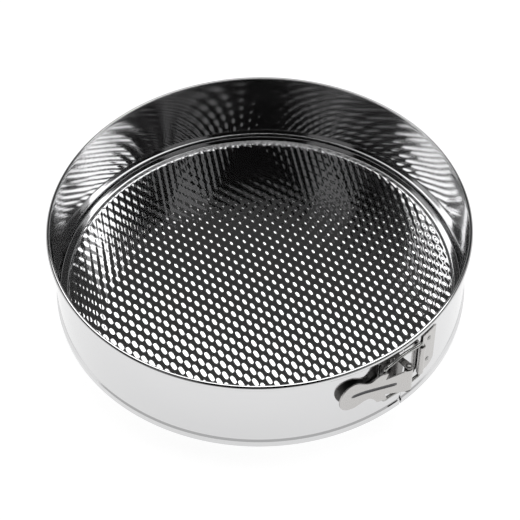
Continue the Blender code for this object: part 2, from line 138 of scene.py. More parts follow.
KNUCKLE_CURL = math.radians(290.0)
RIVET_SPACING = 0.0212
RIVET_RISE = 0.0009
RIVET_FROM_KNUCKLE = 0.0092
RIVET_SHANK = 0.0010
RIVET_HEAD_RADIUS = 0.0018
RIVET_HEAD = 0.0005
RIVET_RECESS = 0.0009
RIVET_RECESS_DEPTH = 0.0006
RIVET_RECESS_WALL = 0.9
RIVET_RECESS_LIP = 0.2
SEAT_GAP = 0.0003
EAR_GAP = 0.0009

# Rounding of cut edges, and the angles past which the shading has an edge
LEVER_EDGE = 0.00022
LATCH_EDGE = 0.0002
EDGE_SEGMENTS = 2
EDGE_ANGLE = math.radians(50.0)
SHARP_ANGLE = math.radians(35.0)
ROLLED_SHARP_ANGLE = math.radians(50.0)
EMBOSS_SHARP_ANGLE = math.radians(60.0)

# Fineness of the meshes
BAND_SEGMENTS = 400
BASE_SEGMENTS = 720
PIN_SEGMENTS = 48
RIVET_SEGMENTS = 32
WIRE_SEGMENTS = 20
ROLL_STEPS = 24
FOLD_STEPS = 8
WALL_STEPS = 24
GROOVE_STEPS = 12
GROOVE_WALL_STEPS = 4
LEDGE_STEPS = 6
PANEL_STEPS = 16
FLANGE_STEPS = 4
SKIRT_STEPS = 16
PADDLE_STEPS = 24
BEAD_STEPS = 10
CORNER_STEPS = 8
DOME_STEPS = 8
EAR_STEPS = 32
BAIL_CORNER_STEPS = 10
CURVE_STEP = 0.0010
LEVER_STEP = 0.0006
OUTLINE_STEP = 0.0005
CURL_STEP = 0.0003
CUT_TOLERANCE = 1e-7
TINY = 1e-9

# Studio: a softbox overhead, two lights behind, two weak fills in front, a dim room and white paper
SOFTBOX_PLACE = (0.12, 0.455, 1.548)
SOFTBOX_SIZE = (2.54, 0.87)
SOFTBOX_LEVEL = 2.2
ROOM_LEVEL = 0.045
FRONT_LEVEL = 0.004
FRONT_START = -0.35
FRONT_END = 0.15
HORIZON_LEVEL = 0.58
HORIZON_START = 0.33
HORIZON_END = 0.42
FILL_PLACE = (0.75, -0.75, 1.05)
FILL_SIZE = (0.5, 0.5)
FILL_POWER = 0.15
BACK_PLACE = (0.752, 0.400, 0.98)
BACK_SIZE = (0.36, 0.36)
BACK_LEVEL = 0.5
FLOOR_COLOUR = 0.30
FLOOR_GLOW = 0.92
FLOOR_ROUGHNESS = 0.9
FLOOR_GLOSS = 0.1
FLOOR_REACH = 3.0
FLOOR_DROP = 0.0002

# Camera: the photo's view, from 49 degrees above the table with a long lens
IMAGE_PIXELS = 520
LENS_PIXELS = 1521.6
RAISE_PIXELS = 19.67
CAMERA_ELEVATION = math.radians(48.91)
CAMERA_ROLL = math.radians(-1.03)
CAMERA_DISTANCE = 1.065
CAMERA_CLIP = 0.01
SENSOR_WIDTH = 36.0

# Rolling marks and patches of the metals
WALL_GRAIN = (60, 60, 1500)
BASE_GRAIN = (300, 300, 300)
LATCH_GRAIN = (1200, 1200, 300)
WIRE_GRAIN = (900, 900, 900)
MARK_DETAIL = 4.0
MARK_DEPTH = 0.0002
PATCH_SCALE = 30.0
PATCH_DETAIL = 3.0
NOISE_LOW = 0.6
NOISE_HIGH = 1.4

# Embossed pattern of the base
EMBOSS_PITCH = 0.00655
EMBOSS_TURN = math.radians(54.3)
EMBOSS_ROW_SLOPE = 0.087
EMBOSS_CROSS_SLOPE = 0.168
EMBOSS_CROSS_SHIFT = 2.29
EMBOSS_PHASE = (-2.286, 0.401)
EMBOSS_MARGIN = 0.0012
EMBOSS_CELLS = 10

# Sizes worked out from the others
WALL_OUTER = WALL_RADIUS + BAND_SHEET
WALL_MID = WALL_RADIUS + BAND_SHEET / 2
SEAM_RIGHT = SEAM_LEFT + SEAM_GAP
SKIRT_RADIUS = WALL_RADIUS + SKIRT_GRIP
PANEL_RADIUS = SKIRT_RADIUS - FLANGE_WIDTH - PANEL_STEP_RUN
CURL_RADIUS = PIN_RADIUS + SEAT_GAP + LATCH_SHEET / 2
KNUCKLE_RADIUS = WIRE_RADIUS + SEAT_GAP + KEEPER_SHEET / 2
LEVER_ROLLED = -CURL_RADIUS * LEVER_CURL
KEEPER_RADIUS = WALL_OUTER + SEAT_GAP + KEEPER_SHEET / 2
KEEPER_ROLLED = -KNUCKLE_RADIUS * KNUCKLE_CURL
BRACKET_RADIUS = WALL_OUTER + SEAT_GAP + LATCH_SHEET / 2
EAR_INNER = LEVER_END_HALF + EAR_GAP
LATCH_TURN = Matrix.Rotation(LATCH_AZIMUTH, 4, "Z")
PIN_PLACE = Vector((WALL_OUTER + PIN_STANDOFF, PIN_OFFSET, LATCH_HEIGHT))


def smooth(x):
    x = min(max(x, 0.0), 1.0)
    return x * x * (3 - 2 * x)


def polar(radius, along, height=0.0):
    """A point given by its radius and its distance along the band from the latch's azimuth."""
    angle = along / WALL_OUTER
    return Vector((radius * math.cos(angle), radius * math.sin(angle), height))


def ramp(x, ease):
    """A straight rise from 0 to 1 with both ends rounded off."""
    if x > 0.5:
        return 1 - ramp(1 - x, ease)
    if x < ease:
        return x * x / (2 * ease * (1 - ease))
    return (x - ease / 2) / (1 - ease)


def arc(centre, radius, start, end, steps):
    angles = [start + (end - start) * k / steps for k in range(steps + 1)]
    return [centre + radius * Vector((math.cos(a), math.sin(a))) for a in angles]


def stops(start, end, step):
    """Even stops between two ends, without the ends."""
    count = max(1, math.ceil((end - start) / step))
    return [start + (end - start) * k / count for k in range(1, count)]


def offset_strip(points, thickness):
    """The two sides of a sheet with the given middle line."""
    left = []
    right = []
    for k, point in enumerate(points):
        before = (point - points[k - 1]).normalized() if k else None
        after = (points[k + 1] - point).normalized() if k + 1 < len(points) else None
        before = before or after
        after = after or before
        normal = Vector((-before.y - after.y, before.x + after.x)).normalized()
        reach = thickness / 2 / normal.dot(Vector((-before.y, before.x)))
        left.append(point + normal * reach)
        right.append(point - normal * reach)
    return left, right


def add_mesh(name, points, faces, material):
    mesh = bpy.data.meshes.new(name)
    mesh.from_pydata([tuple(p) for p in points], [], [tuple(f) for f in faces])
    bm = bmesh.new()
    bm.from_mesh(mesh)
    bmesh.ops.recalc_face_normals(bm, faces=bm.faces)
    bm.to_mesh(mesh)
    bm.free()
    return add_object(name, mesh, material)


def add_object(name, mesh, material, sharp=SHARP_ANGLE):
    for layer in material if isinstance(material, tuple) else (material,):
        mesh.materials.append(layer)
    mesh.shade_smooth()
    mesh.set_sharp_from_angle(angle=sharp)
    obj = bpy.data.objects.new(name, mesh)
    bpy.context.scene.collection.objects.link(obj)
    return obj


def add_solid(name, bm, material, matrix=LATCH_TURN, sharp=SHARP_ANGLE):
    bm.transform(matrix)
    bmesh.ops.recalc_face_normals(bm, faces=bm.faces)
    mesh = bpy.data.meshes.new(name)
    bm.to_mesh(mesh)
    bm.free()
    return add_object(name, mesh, material, sharp)


def soften(obj, width):
    """Rounds the cut edges of a pressed piece."""
    bevel = obj.modifiers.new("edges", "BEVEL")
    bevel.width = width
    bevel.segments = EDGE_SEGMENTS
    bevel.limit_method = "ANGLE"
    bevel.angle_limit = EDGE_ANGLE
    bevel.harden_normals = True


def sheet_faces(rows, columns, present, wrap=False):
    """Faces of a sheet with two sides: a grid's cells, and a wall where the next cell is absent."""
    size = rows * columns
    cells = {(i, j) for i in range(rows - (not wrap)) for j in range(columns - 1) if present(i, j)}
    faces = []
    for i, j in cells:
        k = (i + 1) % rows
        a = i * columns + j
        b = k * columns + j
        c = b + 1
        d = a + 1
        faces.append((a, b, c, d))
        faces.append((d + size, c + size, b + size, a + size))
        before = (i - 1) % rows if wrap else i - 1
        after = (i + 1) % rows if wrap else i + 1
        ends = [((before, j), d, a), ((after, j), b, c)]
        edges = [((i, j - 1), a, b), ((i, j + 1), c, d)]
        for other, p, q in ends + edges:
            if other not in cells:
                faces.append((q, p, p + size, q + size))
    return faces


def band_midline():
    """Section of the band, from the end of the rim's roll to the turned-in bottom edge."""
    roll = RIM_WIDTH - BAND_SHEET - RIM_FOLD
    rim_top = PAN_HEIGHT - BAND_SHEET / 2
    roll_centre = Vector((WALL_MID + RIM_FOLD, rim_top - roll))
    fold_centre = Vector((WALL_MID + RIM_FOLD, rim_top - RIM_FOLD))
    groove = WALL_MID + GROOVE_DEPTH
    bend_centre = Vector((groove - LEDGE_BEND, BAND_SHEET / 2 + LEDGE_BEND))
    points = arc(roll_centre, roll, math.radians(-90), math.radians(90), ROLL_STEPS)
    points += arc(fold_centre, RIM_FOLD, math.radians(90), math.radians(180), FOLD_STEPS)[1:]
    wall_top = fold_centre.y
    for k in range(1, WALL_STEPS + 1):
        points.append(Vector((WALL_MID, wall_top + (GROOVE_TOP - wall_top) * k / WALL_STEPS)))
    for k in range(1, GROOVE_STEPS + 1):
        out = WALL_MID + GROOVE_DEPTH * ramp(k / GROOVE_STEPS, GROOVE_EASE)
        points.append(Vector((out, GROOVE_TOP - GROOVE_STEP * k / GROOVE_STEPS)))
    groove_wall = GROOVE_TOP - GROOVE_STEP - bend_centre.y
    for k in range(GROOVE_WALL_STEPS - 1, 0, -1):
        points.append(Vector((groove, bend_centre.y + groove_wall * k / GROOVE_WALL_STEPS)))
    points += arc(bend_centre, LEDGE_BEND, 0, math.radians(-90), LEDGE_STEPS)
    points.append(Vector((groove - LEDGE_WIDTH, BAND_SHEET / 2)))
    return points


def band_half(name, start, end, material, slit=False, rim_start=None):
    """Half of the band, with a slit in the groove's step at its end, or a rim that starts early."""
    midline = band_midline()
    outside, inside = offset_strip(midline, BAND_SHEET)
    angles = [start + (end - start) * k / BAND_SEGMENTS for k in range(BAND_SEGMENTS + 1)]
    if rim_start is not None:
        angles.insert(0, rim_start)
    points = []
    for side in (outside, inside):
        for angle in angles:
            turn = angle + LATCH_AZIMUTH
            points += [(p.x * math.cos(turn), p.x * math.sin(turn), p.y) for p in side]
    slit_low = GROOVE_TOP - GROOVE_STEP * RELIEF_LEVEL - RELIEF_HEIGHT / 2
    slit_high = slit_low + RELIEF_HEIGHT
    slit_start = end - RELIEF_LENGTH / WALL_OUTER

    def present(i, j):
        middle = (midline[j].y + midline[j + 1].y) / 2
        if angles[i] == rim_start:
            return j < ROLL_STEPS + FOLD_STEPS
        return not (slit and angles[i] > slit_start and slit_low < middle < slit_high)

    faces = sheet_faces(len(angles), len(midline), present)
    return add_mesh(name, points, faces, material)


def tongue(name, material):
    """The band's right end, stepped inwards behind the left end."""
    shift = BAND_SHEET + SEAT_GAP
    tucked = SEAM_LEFT + SEAT_GAP
    stations = [(SEAM_RIGHT + TONGUE_ROOT, 0.0, 0.0), (tucked, shift, 0.0)]
    chamfer_start = TONGUE_CHAMFER - TONGUE_LENGTH
    stations += [(along, shift, 0.0) for along in stops(chamfer_start, tucked, CURVE_STEP)[::-1]]
    stations += [(chamfer_start, shift, 0.0), (-TONGUE_LENGTH, shift, TONGUE_CHAMFER)]
    points = []
    for radius in (WALL_OUTER, WALL_RADIUS):
        for along, inward, chamfer in stations:
            for height in (TONGUE_TOP - chamfer, TONGUE_BOTTOM + chamfer):
                points.append(LATCH_TURN @ polar(radius - inward, along, height))
    return add_mesh(name, points, sheet_faces(len(stations), 2, lambda i, j: True), material)


def emboss_height(x, y):
    """Height of the base's pressed pattern: two sets of shallow waves that cross at 45 degrees."""
    wave = 2 * math.pi / EMBOSS_PITCH
    c, s = math.cos(EMBOSS_TURN), math.sin(EMBOSS_TURN)
    u = wave * (c * x + s * y) + EMBOSS_PHASE[0]
    v = wave * (c * y - s * x) + EMBOSS_PHASE[1]
    fade = np.clip((PANEL_RADIUS - np.hypot(x, y)) / EMBOSS_MARGIN, 0, 1)
    fade = fade * fade * (3 - 2 * fade)
    rows = EMBOSS_ROW_SLOPE * np.cos(u)
    crossing = EMBOSS_CROSS_SLOPE * np.cos(u - v + EMBOSS_CROSS_SHIFT)
    return fade / wave * (rows + crossing)


def panel_side(step, height):
    """One face of the embossed panel: a square mesh, with the points past its edge pulled in."""
    count = int(PANEL_RADIUS / step) + 2
    line = np.arange(-count, count + 1) * step
    x, y = np.meshgrid(line, line, indexing="ij")
    c, s = math.cos(EMBOSS_TURN), math.sin(EMBOSS_TURN)
    x, y = c * x - s * y, s * x + c * y
    radius = np.hypot(x, y)
    inside = radius < PANEL_RADIUS
    pull = np.where(inside, 1.0, PANEL_RADIUS / np.maximum(radius, TINY))
    x, y = x * pull, y * pull
    z = height + emboss_height(x, y)
    side = 2 * count + 1
    index = np.arange(side * side).reshape(side, side)
    cells = [index[:-1, :-1], index[1:, :-1], index[1:, 1:], index[:-1, 1:]]
    corners = np.stack(cells, axis=-1).reshape(-1, 4)
    keep = inside.reshape(-1)[corners].any(axis=1)
    corners = corners[keep]
    used, corners = np.unique(corners, return_inverse=True)
    points = np.stack([x, y, z], axis=-1).reshape(-1, 3)[used]
    return points, corners.reshape(-1, 4)


def base_piece(material):
    middle = FLANGE_TOP - BASE_SHEET / 2
    panel = middle - PANEL_DROP
    skirt = SKIRT_RADIUS - BASE_SHEET / 2
    points = []
    for k in range(PANEL_STEPS + 1):
        share = k / PANEL_STEPS
        height = panel + PANEL_DROP * smooth(share)
        points.append(Vector((PANEL_RADIUS + PANEL_STEP_RUN * share, height)))
    bend_centre = Vector((skirt - SKIRT_BEND, middle - SKIRT_BEND))
    flange = SKIRT_RADIUS - FLANGE_WIDTH
    for k in range(1, FLANGE_STEPS):
        points.append(Vector((flange + (bend_centre.x - flange) * k / FLANGE_STEPS, middle)))
    points += arc(bend_centre, SKIRT_BEND, math.radians(90), 0, SKIRT_STEPS)
    points.append(Vector((skirt, BAND_SHEET + SEAT_GAP)))
    top, under = offset_strip(points, BASE_SHEET)
    ring = []
    for side in (top, under):
        for k in range(BASE_SEGMENTS):
            turn = 2 * math.pi * k / BASE_SEGMENTS
            ring += [(p.x * math.cos(turn), p.x * math.sin(turn), p.y) for p in side]
    faces = sheet_faces(BASE_SEGMENTS, len(points), lambda i, j: True, wrap=True)
    upper, upper_faces = panel_side(EMBOSS_PITCH / EMBOSS_CELLS, panel + BASE_SHEET / 2)
    lower, lower_faces = panel_side(2 * EMBOSS_PITCH / EMBOSS_CELLS, panel - BASE_SHEET / 2)
    start = len(ring)
    faces = faces + [tuple(f + start) for f in upper_faces]
    start += len(upper)
    faces += [tuple(f[::-1] + start) for f in lower_faces]
    points = np.concatenate([np.array(ring), upper, lower])
    mesh = bpy.data.meshes.new("base")
    mesh.from_pydata(points.tolist(), [], faces)
    return add_object("base_embossed", mesh, material, sharp=EMBOSS_SHARP_ANGLE)


def pressed_sheet(outline, cuts_along, cuts_across, thickness, surface, painted_shade_slot=None):
    """A flat outline, cut into strips and laid on a surface."""
    flat = bmesh.new()
    flat.faces.new([flat.verts.new((a, w, 0)) for a, w in outline])
    planes = [((a, 0, 0), (1, 0, 0)) for a in cuts_along]
    planes += [((0, w, 0), (0, 1, 0)) for w in cuts_across]
    for point, normal in planes:
        geometry = flat.verts[:] + flat.edges[:] + flat.faces[:]
        bmesh.ops.bisect_plane(flat, geom=geometry, dist=CUT_TOLERANCE, plane_co=point, plane_no=normal)
    bm = bmesh.new()
    outer, inner = {}, {}
    for vert in flat.verts:
        middle, normal = surface(vert.co.x, vert.co.y)
        outer[vert] = bm.verts.new(middle + normal * thickness / 2)
        inner[vert] = bm.verts.new(middle - normal * thickness / 2)
    for face in flat.faces:
        front = bm.faces.new([outer[v] for v in face.verts])
        rear = bm.faces.new([inner[v] for v in reversed(face.verts)])
        # Where slots are given, painted shade: front faces in the bead take the darker slot given for
        # them, and rear faces take slot 1
        if painted_shade_slot:
            middle = face.calc_center_median()
            front.material_index = painted_shade_slot(middle.x, middle.y)
            # Painted shade: every rear face takes slot 1, a darker steel
            rear.material_index = 1
    for edge in flat.edges:
        if edge.is_boundary:
            a, b = edge.verts
            bm.faces.new((outer[a], outer[b], inner[b], inner[a]))
    flat.free()
    return bm


def prism(outline, bottom, top):
    """An outline raised from one height to another."""
    bm = bmesh.new()
    low = [bm.verts.new((p[0], p[1], bottom)) for p in outline]
    high = [bm.verts.new((p[0], p[1], top)) for p in outline]
    bm.faces.new(low)
    bm.faces.new(high)
    for k in range(len(outline)):
        bm.faces.new((low[k - 1], low[k], high[k], high[k - 1]))
    return bm


def turned(profile, segments):
    """A profile of radius and height, turned about Z."""
    bm = bmesh.new()
    rings = []
    for radius, height in profile:
        if radius < TINY:
            rings.append([bm.verts.new((0, 0, height))] * segments)
            continue
        ring = []
        for k in range(segments):
            turn = 2 * math.pi * k / segments
            ring.append(bm.verts.new((radius * math.cos(turn), radius * math.sin(turn), height)))
        rings.append(ring)
    for upper, lower in zip(rings, rings[1:]):
        for k in range(segments):
            corners = (upper[k - 1], upper[k], lower[k], lower[k - 1])
            bm.faces.new(dict.fromkeys(corners))
    return bm


def rounded_corner(corner, before, after, radius):
    to_before = (Vector(before) - Vector(corner)).normalized() * radius
    to_after = (Vector(after) - Vector(corner)).normalized() * radius
    centre = Vector(corner) + to_before + to_after
    turns = [math.pi / 2 * k / CORNER_STEPS for k in range(CORNER_STEPS + 1)]
    return [centre - to_after * math.cos(a) - to_before * math.sin(a) for a in turns]


def lever_outline():
    """The lever laid flat, as distance from its roll and distance from its middle."""
    root = [(LEVER_ROLLED, LEVER_END_HALF), (NECK_START, LEVER_END_HALF)]
    root.append((SHOULDER_AT, LEVER_NECK_HALF))
    root.append((SHOULDER_AT - LEVER_SHOULDER_SLANT, LEVER_SHOULDER_HALF))
    upper = []
    for along in [SHOULDER_END] + stops(SHOULDER_END, WAIST_AT, OUTLINE_STEP):
        share = smooth((along - SHOULDER_END) / (WAIST_AT - SHOULDER_END))
        upper.append((along, LEVER_SHOULDER_HALF + (LEVER_WAIST_HALF - LEVER_SHOULDER_HALF) * share))
    lower = []
    for along in [SPUR_AT] + stops(SPUR_AT, WAIST_AT, OUTLINE_STEP):
        share = (WAIST_AT - along) / (WAIST_AT - SPUR_AT)
        lower.append((along, LEVER_WAIST_HALF + (LEVER_SPUR_HALF - LEVER_WAIST_HALF) * share ** 2))
    paddle = [(WAIST_AT, LEVER_WAIST_HALF)]
    for along in stops(WAIST_AT, PADDLE_AT, OUTLINE_STEP) + [PADDLE_AT]:
        share = smooth((along - WAIST_AT) / (PADDLE_AT - WAIST_AT))
        paddle.append((along, LEVER_WAIST_HALF + (LEVER_PADDLE_HALF - LEVER_WAIST_HALF) * share))
    for k in range(1, PADDLE_STEPS):
        angle = math.pi / 2 * k / PADDLE_STEPS
        reach = LEVER_LENGTH - PADDLE_AT
        paddle.append((PADDLE_AT + reach * math.sin(angle), LEVER_PADDLE_HALF * math.cos(angle)))
    below = [(a, -w) for a, w in reversed(root + lower + paddle)]
    return root + upper + paddle + [(LEVER_LENGTH, 0.0)] + below


def bead_share(along, across):
    """Depth of the lever's bead at a point, as a share of its full depth."""
    run = 2 * BEAD_HALF
    lengthwise = smooth((along - BEAD_START) / run) * smooth((BEAD_END - along) / run)
    return lengthwise * smooth(1 - abs(across) / BEAD_HALF)


def lever_surface(along, across):
    """Middle of the lever's sheet, seen from the pivot, and its outward direction."""
    if along < 0:
        turn = -along / CURL_RADIUS
        normal = Vector((math.cos(turn), math.sin(turn), 0))
        return normal * CURL_RADIUS + Vector((0, 0, across)), normal
    bend_radius = (LEVER_LENGTH - WAIST_AT) / PADDLE_BEND
    turn = max(0.0, along - WAIST_AT) / bend_radius
    straight = min(along, WAIST_AT)
    out = CURL_RADIUS + bend_radius * (1 - math.cos(turn))
    middle = Vector((out, -straight - bend_radius * math.sin(turn), across))
    normal = Vector((math.cos(turn), math.sin(turn), 0))
    return middle - normal * BEAD_DEPTH * bead_share(along, across), normal


def lever_shade_slot(along, across):
    """Slot of the bead's painted shade: the bottom and the upper side of the bead are painted darker.
    """
    upper = across > -BEAD_HALF * BEAD_SHADE_REACH
    return 2 if upper and bead_share(along, across) > BEAD_SHADE_FROM else 0


def lever_piece(material, painted_back_shade, painted_bead_shade):
    cuts_along = stops(LEVER_ROLLED, 0, CURL_STEP) + [0] + stops(0, LEVER_LENGTH, LEVER_STEP)
    cuts_across = [BEAD_HALF * k / BEAD_STEPS for k in range(-BEAD_STEPS, BEAD_STEPS + 1)]
    outline = lever_outline()
    bm = pressed_sheet(outline, cuts_along, cuts_across, LATCH_SHEET, lever_surface, lever_shade_slot)
    place = LATCH_TURN @ Matrix.Translation(PIN_PLACE) @ Matrix.Rotation(-LEVER_SLOPE, 4, "Z")
    obj = add_solid("lever_pressed", bm, (material, painted_back_shade, painted_bead_shade), place, sharp=ROLLED_SHARP_ANGLE)
    soften(obj, LEVER_EDGE)
    for side, name in ((1, "hook_upper"), (-1, "hook_lower")):
        outline = [(HOOK_TIP, -HOOK_AT), (HOOK_TIP, -HOOK_AT - HOOK_SHEET)]
        outline += [(CURL_RADIUS, -HOOK_AT - HOOK_SHEET), (CURL_RADIUS, -HOOK_AT)]
        bottom, top = sorted((side * HOOK_INNER, side * HOOK_OUTER))
        hook = add_solid(name, prism(outline, bottom, top), material, place)
        soften(hook, LATCH_EDGE)
        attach(hook, "lever")
    return obj


def bracket_piece(material):
    half = EAR_INNER + EAR_SHEET / 2
    left = -BRACKET_LEFT
    right = SEAM_LEFT - SEAT_GAP
    outline = [(right, -half), (right, half)]
    outline += rounded_corner((left, half), (right, half), (left, -half), BRACKET_CORNER)
    outline += rounded_corner((left, -half), (left, half), (right, -half), BRACKET_CORNER)

    def surface(along, across):
        point = polar(BRACKET_RADIUS, along, LATCH_HEIGHT + across)
        return point, Vector((point.x, point.y, 0)).normalized()

    plate = pressed_sheet(outline, stops(left, right, CURVE_STEP), [], LATCH_SHEET, surface)
    obj = add_solid("bracket_plate", plate, material)
    soften(obj, LATCH_EDGE)
    pin = Vector((PIN_PLACE.x, PIN_PLACE.y))
    ear = [Vector((BRACKET_RADIUS, right - EAR_FOOT)), Vector((BRACKET_RADIUS, right))]
    ear += arc(pin, EAR_RADIUS, EAR_ARC_START, EAR_ARC_END, EAR_STEPS)
    for side, name in ((1, "ear_upper"), (-1, "ear_lower")):
        bottom, top = sorted((side * EAR_INNER, side * (EAR_INNER + EAR_SHEET)))
        arm = add_solid(name, prism(ear, LATCH_HEIGHT + bottom, LATCH_HEIGHT + top), material)
        soften(arm, LATCH_EDGE)
        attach(arm, "pan")
    return obj


def pin_piece(material):
    head_base = EAR_INNER + EAR_SHEET + PIN_HEAD_GAP
    dome = []
    for k in range(DOME_STEPS + 1):
        angle = math.pi / 2 * k / DOME_STEPS
        dome.append((PIN_HEAD_RADIUS * math.sin(angle), head_base + PIN_HEAD * math.cos(angle)))
    upper = dome + [(PIN_RADIUS, head_base)]
    lower = [(r, -h) for r, h in reversed(upper)]
    place = LATCH_TURN @ Matrix.Translation(PIN_PLACE)
    return add_solid("pin_headed", turned(upper + lower, PIN_SEGMENTS), material, place)


def knuckle_axis():
    return polar(KEEPER_RADIUS + KNUCKLE_RADIUS, KEEPER_OFFSET, KEEPER_HEIGHT)


def keeper_surface(along, across):
    """Middle of the keeper's sheet and its outward direction."""
    out = polar(1.0, KEEPER_OFFSET)
    right = Vector((-out.y, out.x, 0))
    height = Vector((0, 0, across))
    if along < 0:
        turn = -along / KNUCKLE_RADIUS
        normal = out * math.cos(turn) + right * math.sin(turn)
        return knuckle_axis() + height - normal * KNUCKLE_RADIUS, normal
    angle = KEEPER_OFFSET / WALL_OUTER + along / KEEPER_RADIUS
    normal = Vector((math.cos(angle), math.sin(angle), 0))
    return normal * KEEPER_RADIUS + Vector((0, 0, KEEPER_HEIGHT)) + height, normal


def keeper_piece(material):
    upper = [(KEEPER_NECK, KEEPER_HALF), (KEEPER_NECK, KNUCKLE_HALF), (KEEPER_ROLLED, KNUCKLE_HALF)]
    corner_top = (KEEPER_LENGTH, KEEPER_HALF)
    corner_low = (KEEPER_LENGTH, -KEEPER_HALF)
    outline = rounded_corner(corner_low, (KEEPER_NECK, -KEEPER_HALF), corner_top, KEEPER_CORNER)
    outline += [Vector(corner_top)]
    outline += [Vector(p) for p in upper] + [Vector((a, -w)) for a, w in reversed(upper)]
    cuts = stops(KEEPER_ROLLED, 0, CURL_STEP) + [0] + stops(0, KEEPER_LENGTH, CURVE_STEP)
    sheet = pressed_sheet(outline, cuts, [], KEEPER_SHEET, keeper_surface)
    obj = add_solid("keeper_rolled", sheet, material, sharp=ROLLED_SHARP_ANGLE)
    soften(obj, LATCH_EDGE)
    return obj


def bail_piece(material):
    axis = knuckle_axis()
    hook = polar(WALL_OUTER + BAIL_STANDOFF, -BAIL_REACH, KEEPER_HEIGHT)
    length = (hook - axis).length
    turn = math.atan2(axis.y - hook.y, axis.x - hook.x) - math.pi / 2
    side = BAIL_HALF - BAIL_CORNER
    near = Vector((-BAIL_CORNER, side))
    far = Vector((BAIL_CORNER - length, side))
    right = arc(near, BAIL_CORNER, 0, math.pi / 2, BAIL_CORNER_STEPS)
    left = arc(far, BAIL_CORNER, math.pi / 2, math.pi, BAIL_CORNER_STEPS)
    leg = []
    for along in stops(BAIL_CORNER, length - BAIL_CORNER, CURVE_STEP):
        share = (along - BAIL_CORNER) / (length - 2 * BAIL_CORNER)
        leg.append(Vector((-along, BAIL_HALF + BAIL_BOW * math.sin(math.pi * share) ** 2)))
    upper = right + leg + left
    path = upper + [Vector((p.x, -p.y)) for p in reversed(upper)]
    bm = bmesh.new()
    rings = []
    for k, point in enumerate(path):
        ahead = (path[(k + 1) % len(path)] - path[k - 1]).normalized()
        across = Vector((-ahead.y, ahead.x))
        ring = []
        for n in range(WIRE_SEGMENTS):
            angle = 2 * math.pi * n / WIRE_SEGMENTS
            flat = point + across * WIRE_RADIUS * math.cos(angle)
            ring.append(bm.verts.new((WIRE_RADIUS * math.sin(angle), flat.x, flat.y)))
        rings.append(ring)
    for k, ring in enumerate(rings):
        for n in range(WIRE_SEGMENTS):
            bm.faces.new((rings[k - 1][n - 1], rings[k - 1][n], ring[n], ring[n - 1]))
    place = LATCH_TURN @ Matrix.Translation(axis) @ Matrix.Rotation(turn, 4, "Z")
    return add_solid("bail_bent", bm, material, place)


def rivet_pieces(material):
    along = KEEPER_OFFSET + RIVET_FROM_KNUCKLE
    seat = SEAT_GAP + KEEPER_SHEET
    top = seat + RIVET_HEAD
    profile = [(0, top - RIVET_RECESS_DEPTH)]
    profile.append((RIVET_RECESS * RIVET_RECESS_WALL, top - RIVET_RECESS_DEPTH * RIVET_RECESS_LIP))
    profile.append((RIVET_RECESS, top))
    shoulder = RIVET_HEAD_RADIUS - RIVET_RECESS
    for k in range(1, DOME_STEPS + 1):
        angle = math.pi / 2 * k / DOME_STEPS
        height = seat + RIVET_HEAD * math.cos(angle)
        profile.append((RIVET_RECESS + shoulder * math.sin(angle), height))
    profile += [(RIVET_SHANK, seat), (RIVET_SHANK, SEAT_GAP), (0, SEAT_GAP)]
    facing = Matrix.Rotation(along / WALL_OUTER, 4, "Z") @ Matrix.Rotation(math.pi / 2, 4, "Y")
    for side, name in ((1, "upper"), (-1, "lower")):
        on_band = polar(WALL_OUTER, along, KEEPER_HEIGHT + RIVET_RISE + side * RIVET_SPACING / 2)
        place = LATCH_TURN @ Matrix.Translation(on_band) @ facing
        obj = add_solid("rivet_head_" + name, turned(profile, RIVET_SEGMENTS), material, place)
        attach(obj, "band_end")
        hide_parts("keeper_rivet_" + name)


def metal(name, colour, roughness, spread, grain, bump):
    """A metal whose gloss varies with fine rolling marks and broad faint patches."""
    material = bpy.data.materials.new(name)
    material.use_nodes = True
    nodes = material.node_tree.nodes
    links = material.node_tree.links
    shader = nodes["Principled BSDF"]
    shader.inputs["Base Color"].default_value = (*colour, 1.0)
    shader.inputs["Metallic"].default_value = 1.0
    place = nodes.new("ShaderNodeTexCoord")
    stretch = nodes.new("ShaderNodeMapping")
    stretch.inputs["Scale"].default_value = grain
    marks = nodes.new("ShaderNodeTexNoise")
    marks.inputs["Scale"].default_value = 1.0
    marks.inputs["Detail"].default_value = MARK_DETAIL
    patches = nodes.new("ShaderNodeTexNoise")
    patches.inputs["Scale"].default_value = PATCH_SCALE
    patches.inputs["Detail"].default_value = PATCH_DETAIL
    both = nodes.new("ShaderNodeMath")
    both.operation = "ADD"
    level = nodes.new("ShaderNodeMapRange")
    level.inputs["From Min"].default_value = NOISE_LOW
    level.inputs["From Max"].default_value = NOISE_HIGH
    level.inputs["To Min"].default_value = roughness - spread
    level.inputs["To Max"].default_value = roughness + spread
    relief = nodes.new("ShaderNodeBump")
    relief.inputs["Strength"].default_value = bump
    relief.inputs["Distance"].default_value = MARK_DEPTH
    links.new(place.outputs["Object"], stretch.inputs["Vector"])
    links.new(stretch.outputs["Vector"], marks.inputs["Vector"])
    links.new(place.outputs["Object"], patches.inputs["Vector"])
    links.new(marks.outputs["Fac"], both.inputs[0])
    links.new(patches.outputs["Fac"], both.inputs[1])
    links.new(both.outputs["Value"], level.inputs["Value"])
    links.new(level.outputs["Result"], shader.inputs["Roughness"])
    links.new(marks.outputs["Fac"], relief.inputs["Height"])
    links.new(relief.outputs["Normal"], shader.inputs["Normal"])
    return material


